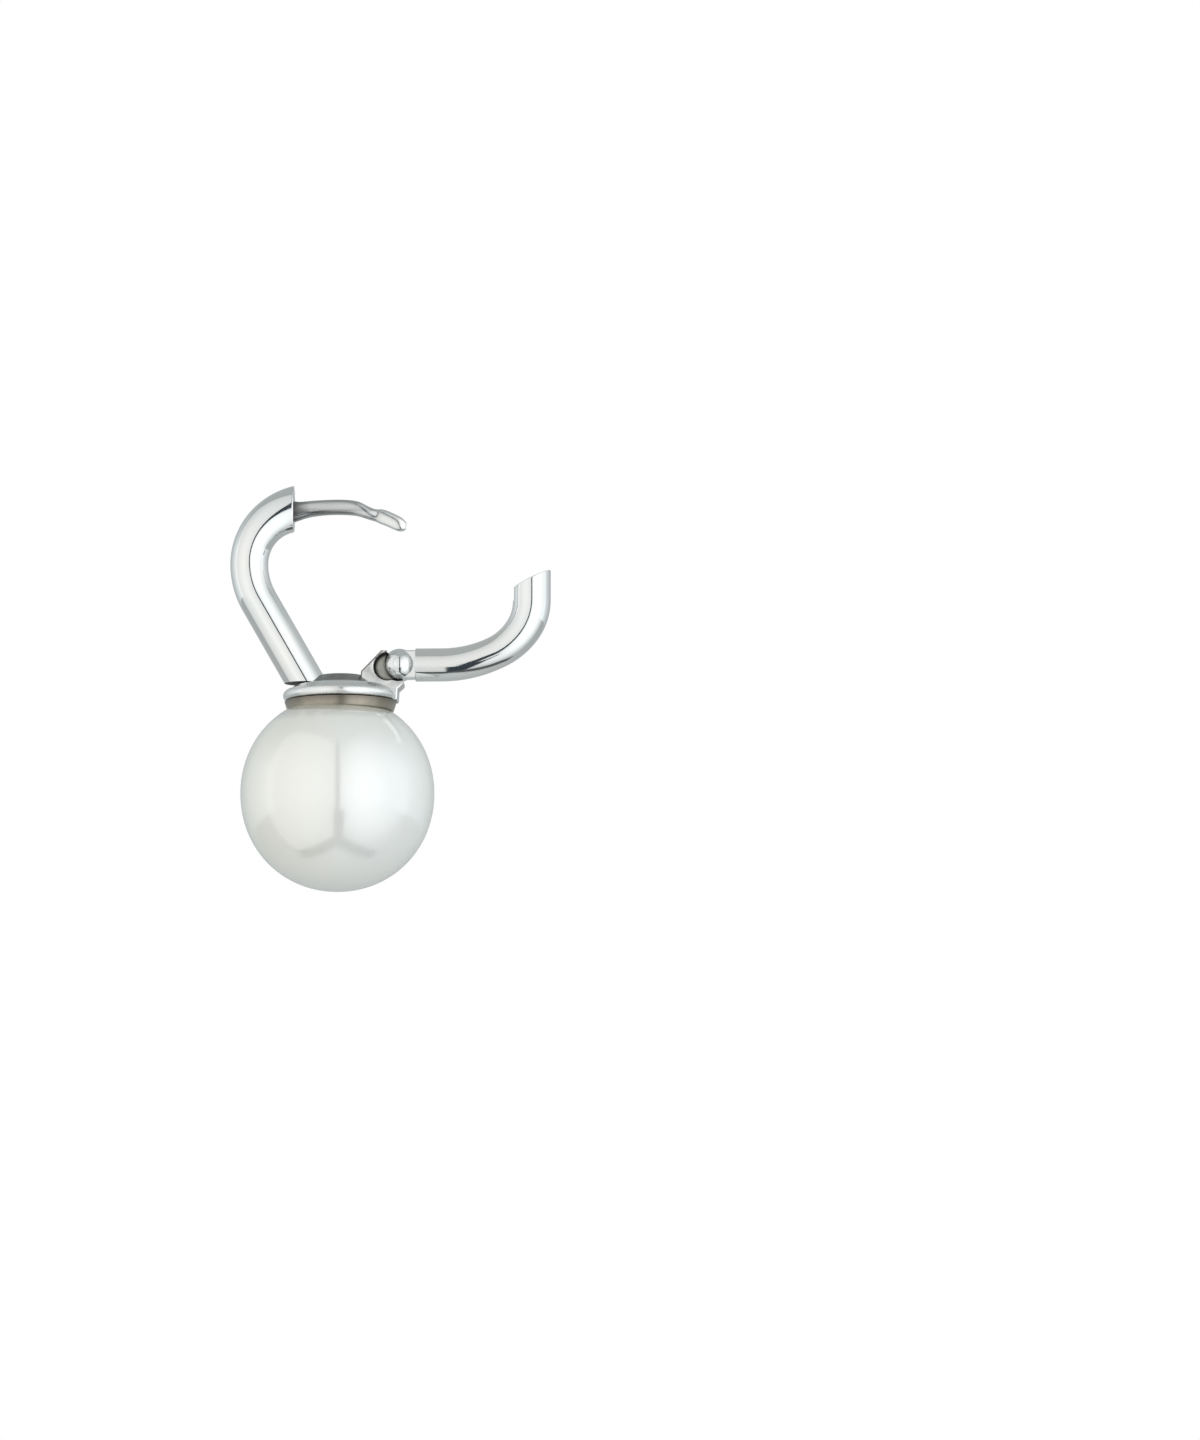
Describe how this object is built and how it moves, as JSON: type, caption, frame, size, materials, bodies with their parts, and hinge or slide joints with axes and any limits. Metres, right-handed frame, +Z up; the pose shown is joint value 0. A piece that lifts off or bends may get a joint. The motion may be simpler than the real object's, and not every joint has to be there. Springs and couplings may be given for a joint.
{
  "type": "pearl earring",
  "caption": "Hinged hoop earring of polished tube, hanging open, with a capped round pearl drop and a notched ear wire.",
  "frame": {"origin": "middle of the ear wire, where the earring hangs in the ear lobe", "axes": "+Z up along the hanging earring, +X along the ear wire from the front arm to its tip, -Y towards the side view shown"},
  "size_m": [0.02, 0.012, 0.0256],
  "materials": {
    "pearl": "gloss",
    "white_gold": "polished",
    "spring_white_gold": "satin"
  },
  "bodies": {
    "front": {"pearl": "pearl", "cap_and_front_arm": "white_gold", "ear_wire": "spring_white_gold"},
    "back": {"back_arm": "white_gold", "hinge_pin": "white_gold"}
  },
  "joints": [
    {"name": "back_arm_hinge", "type": "hinge", "parent": "front", "child": "back", "pos_m": [0.00369, 0, -0.00999], "axis": [0, -1, 0], "range_deg": [0, 64]}
  ]
}
